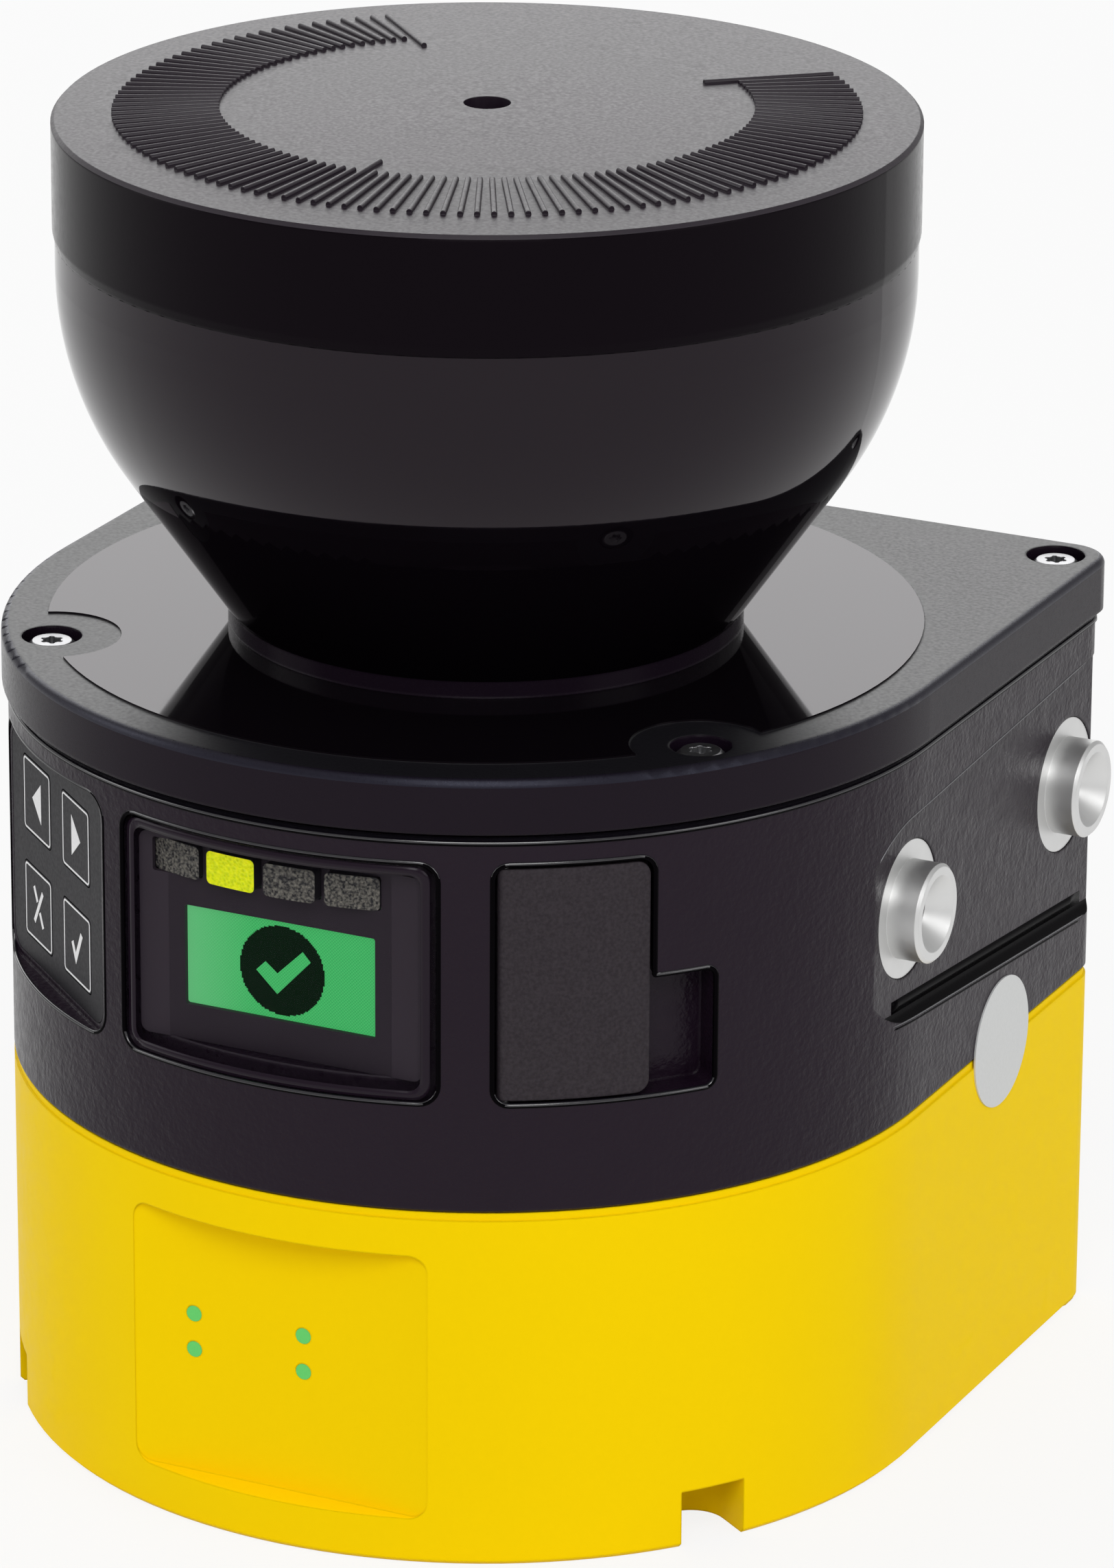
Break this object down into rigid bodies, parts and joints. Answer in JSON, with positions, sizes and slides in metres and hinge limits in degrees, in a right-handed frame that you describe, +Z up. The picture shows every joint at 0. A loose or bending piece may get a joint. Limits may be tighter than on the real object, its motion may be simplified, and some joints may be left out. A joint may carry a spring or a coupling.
{
  "type": "safety laser scanner",
  "caption": "D-shaped safety laser scanner with a bowl-shaped optics hood, ribbed cap, display, keypad, hinged port cover, side mounting bushes and a spinning mirror.",
  "frame": {"origin": "on the bottom face of the base, under the axis of the scanning head", "axes": "+Z up along the head's axis, -Y out of the front (the display side), +X out of the right side"},
  "size_m": [0.116, 0.1113, 0.1561],
  "materials": {
    "yellow_paint": "satin powder coat",
    "black_paint": "fine-textured matte powder coat",
    "hood_plastic": "polished, infrared-transparent black",
    "cap_paint": "fine-textured matte powder coat",
    "seal": "matte",
    "screw_steel": "satin",
    "window_plastic": "smoked clear",
    "lcd": "lit, green",
    "light_off": "clear lens, unlit",
    "light_on": "clear lens, lit",
    "circuit_board": "solder mask",
    "keypad_film": "matte film",
    "cover_rubber": "matte, fine grain",
    "aluminium": "machined",
    "nickel": "nickel plated",
    "seal_foil": "silver foil, bare",
    "status_green": "clear light-pipe",
    "insulator": "satin",
    "gold_contact": "gold plated",
    "motor_steel": "satin",
    "copper_stack": "windings, lacquered",
    "carrier_plastic": "satin",
    "mirror_glass": "front-coated",
    "lens_glass": "clear, polished"
  },
  "bodies": {
    "scanner": {"base_housing": "yellow_paint", "base_gasket": "seal", "sensor_housing": "black_paint", "hood_gasket": "seal", "optics_hood": "hood_plastic", "head_cap": "cap_paint", "cover_screws": "screw_steel", "base_screws": "screw_steel", "display_window": "window_plastic", "lcd_panel": "lcd", "light_lens_1": "light_off", "light_lens_2": "light_on", "light_lens_3": "light_off", "light_lens_4": "light_off", "display_board": "circuit_board", "keypad_panel": "keypad_film", "keypad_board": "circuit_board", "port_hinge_pin": "screw_steel", "port_socket": "nickel", "port_tongue": "insulator", "port_board": "circuit_board", "side_bush_right_front": "aluminium", "side_bush_right_rear": "aluminium", "side_bush_left_front": "aluminium", "side_bush_left_rear": "aluminium", "seal_disc": "seal_foil", "status_lights": "status_green", "connector_shell_1": "nickel", "connector_shell_2": "nickel", "connector_shell_3": "nickel", "connector_insert_1": "insulator", "connector_insert_2": "insulator", "connector_insert_3": "insulator", "connector_pins_1": "gold_contact", "connector_pins_2": "gold_contact", "connector_pins_3": "gold_contact", "connector_nuts": "nickel", "network_board": "circuit_board", "main_board": "circuit_board", "link_connector": "insulator", "spindle_plate": "aluminium", "motor_case": "motor_steel", "motor_stator": "copper_stack", "bearing_upper": "screw_steel", "bearing_lower": "screw_steel", "receiver_plate": "circuit_board", "receiver_lens": "lens_glass", "laser_module": "gold_contact"},
    "key_previous": {"key_previous": "keypad_film"},
    "key_next": {"key_next": "keypad_film"},
    "key_cancel": {"key_cancel": "keypad_film"},
    "key_confirm": {"key_confirm": "keypad_film"},
    "port_cover": {"port_cover": "cover_rubber"},
    "rotor": {"motor_rotor": "motor_steel", "spindle_shaft": "screw_steel", "mirror_carrier": "carrier_plastic", "scan_mirror": "mirror_glass"}
  },
  "joints": [
    {"name": "key_previous_press", "type": "slide", "parent": "scanner", "child": "key_previous", "axis": [0.6561, 0.7547, 0], "range_m": [0, 0.0004], "stiffness_N_per_m": 1500},
    {"name": "key_next_press", "type": "slide", "parent": "scanner", "child": "key_next", "axis": [0.6561, 0.7547, 0], "range_m": [0, 0.0004], "stiffness_N_per_m": 1500},
    {"name": "key_cancel_press", "type": "slide", "parent": "scanner", "child": "key_cancel", "axis": [0.6561, 0.7547, 0], "range_m": [0, 0.0004], "stiffness_N_per_m": 1500},
    {"name": "key_confirm_press", "type": "slide", "parent": "scanner", "child": "key_confirm", "axis": [0.6561, 0.7547, 0], "range_m": [0, 0.0004], "stiffness_N_per_m": 1500},
    {"name": "port_cover_hinge", "type": "hinge", "parent": "scanner", "child": "port_cover", "pos_m": [0.02611, -0.04768, 0.0704], "axis": [0, 0, -1], "range_deg": [0, 90]},
    {"name": "mirror_spin", "type": "hinge", "parent": "scanner", "child": "rotor", "pos_m": [0, 0, 0.1], "axis": [0, 0, 1], "continuous": true}
  ]
}
